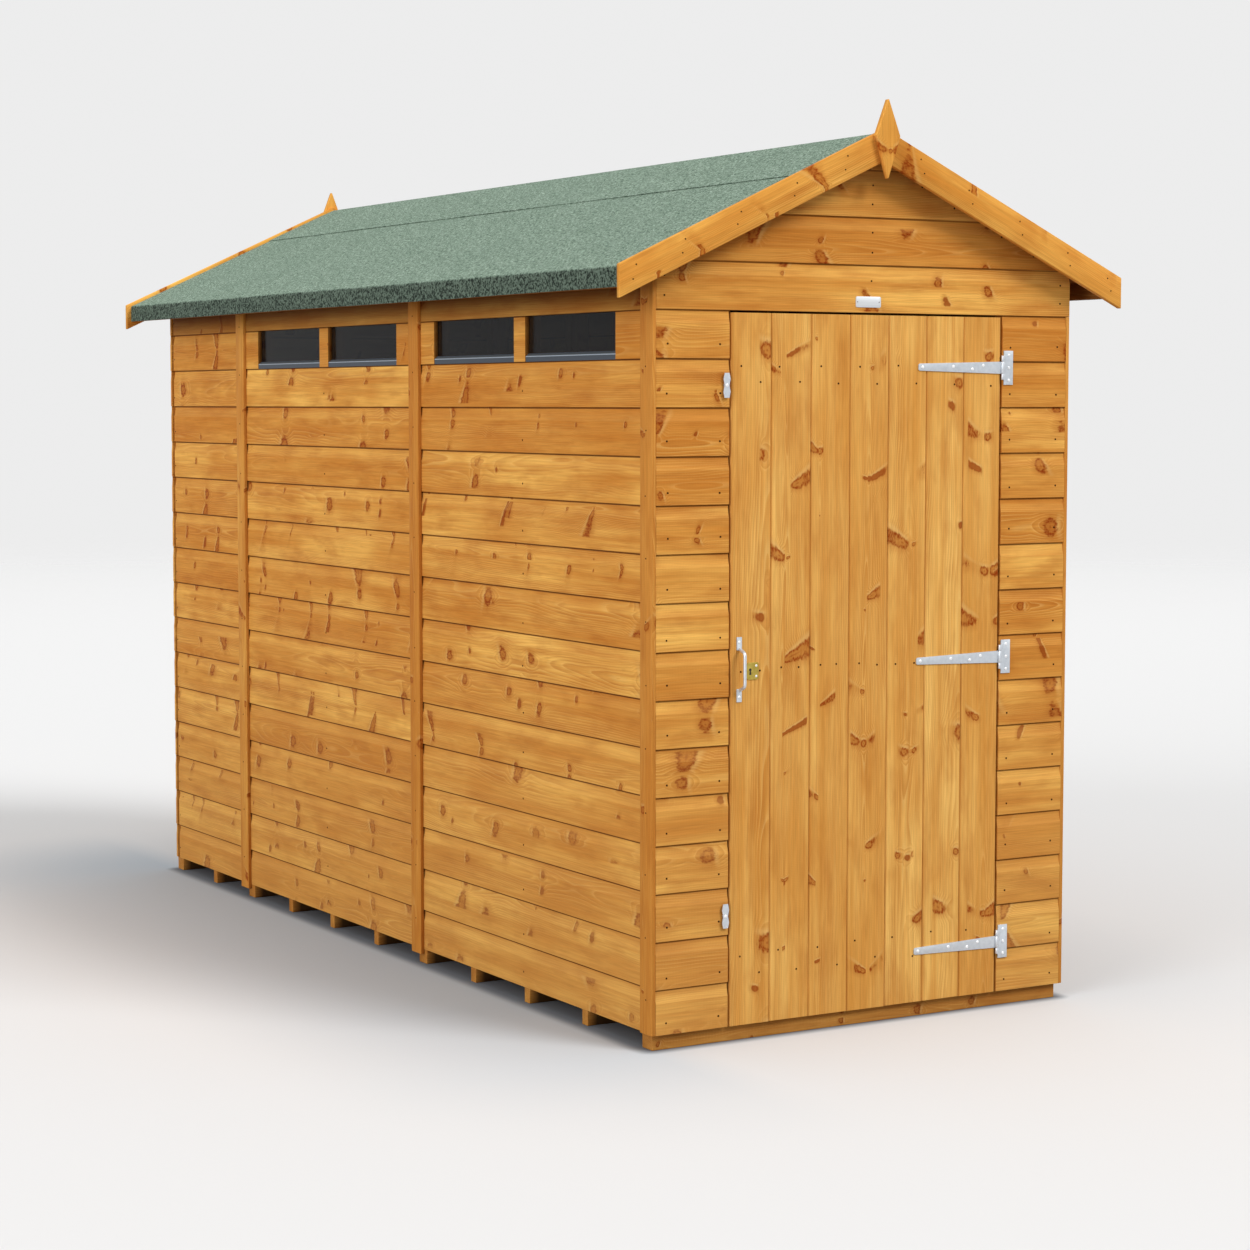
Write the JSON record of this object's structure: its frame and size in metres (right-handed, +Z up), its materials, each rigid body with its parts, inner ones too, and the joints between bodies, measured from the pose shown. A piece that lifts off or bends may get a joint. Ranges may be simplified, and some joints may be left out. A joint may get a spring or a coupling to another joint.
{
  "type": "wooden garden shed",
  "caption": "Narrow softwood garden shed with a felted ridge roof, shiplap walls, a high window strip on one side and a hinged boarded door in the gable end.",
  "frame": {"origin": "on the ground, under the middle of the shed's overall box", "axes": "+X to the right along the front gable, +Y from the front with the door to the rear, +Z up"},
  "size_m": [1.458, 3.19, 2.235],
  "materials": {
    "wall_boards": "golden brown dip-treated softwood shiplap, planed",
    "door_boards": "golden brown dip-treated softwood tongued boards, planed",
    "trim": "golden brown dip-treated softwood strips, planed",
    "framing": "golden brown dip-treated softwood, rough sawn",
    "treated_timber": "golden brown treated softwood bearers, sawn",
    "floor_boards": "softwood floor boards, sawn",
    "roof_boards": "softwood roof boards and battens, sawn",
    "felt": "green mineral-surfaced roofing felt",
    "window_glass": "clear horticultural glazing",
    "galvanised_steel": "bright galvanised pressed steel",
    "brass_plate": "polished brass, slightly worn"
  },
  "bodies": {
    "shed": {"floor_bearers": "treated_timber", "floor_deck": "floor_boards", "front_boards_left": "wall_boards", "front_boards_right": "wall_boards", "front_gable_boards": "wall_boards", "front_posts": "framing", "front_rails": "framing", "front_gable_rails": "framing", "rear_boards": "wall_boards", "rear_posts": "framing", "rear_rails": "framing", "rear_gable_rails": "framing", "left_boards_below_windows": "wall_boards", "left_boards_beside_windows": "wall_boards", "left_boards_above_windows": "wall_boards", "left_boards_rear_panel": "wall_boards", "left_studs": "framing", "left_rails": "framing", "left_cover_strips": "trim", "right_boards": "wall_boards", "right_studs": "framing", "right_rails": "framing", "right_cover_strips": "trim", "window_panes": "window_glass", "window_beads": "framing", "front_corner_strips": "trim", "left_roof_boards": "roof_boards", "right_roof_boards": "roof_boards", "left_felt": "felt", "right_felt": "felt", "eave_battens": "roof_boards", "purlins": "framing", "front_bargeboards": "trim", "rear_bargeboards": "trim", "finials": "trim", "hinge_plates": "galvanised_steel", "head_plate": "galvanised_steel"},
    "door": {"door_boards": "door_boards", "door_ledges": "framing", "door_braces": "framing", "hinge_straps": "galvanised_steel", "door_handle": "galvanised_steel", "lock_plate": "brass_plate"},
    "lower_turn_button": {"lower_turn_button": "galvanised_steel"},
    "upper_turn_button": {"upper_turn_button": "galvanised_steel"}
  },
  "joints": [
    {"name": "door_hinge", "type": "hinge", "parent": "shed", "child": "door", "pos_m": [0.3975, -1.5303, 0], "axis": [0, 0, 1], "range_deg": [0, 170]},
    {"name": "lower_button_pivot", "type": "hinge", "parent": "shed", "child": "lower_turn_button", "pos_m": [-0.411, -1.525, 0.306], "axis": [0, -1, 0], "continuous": true},
    {"name": "upper_button_pivot", "type": "hinge", "parent": "shed", "child": "upper_turn_button", "pos_m": [-0.411, -1.525, 1.558], "axis": [0, -1, 0], "continuous": true}
  ]
}
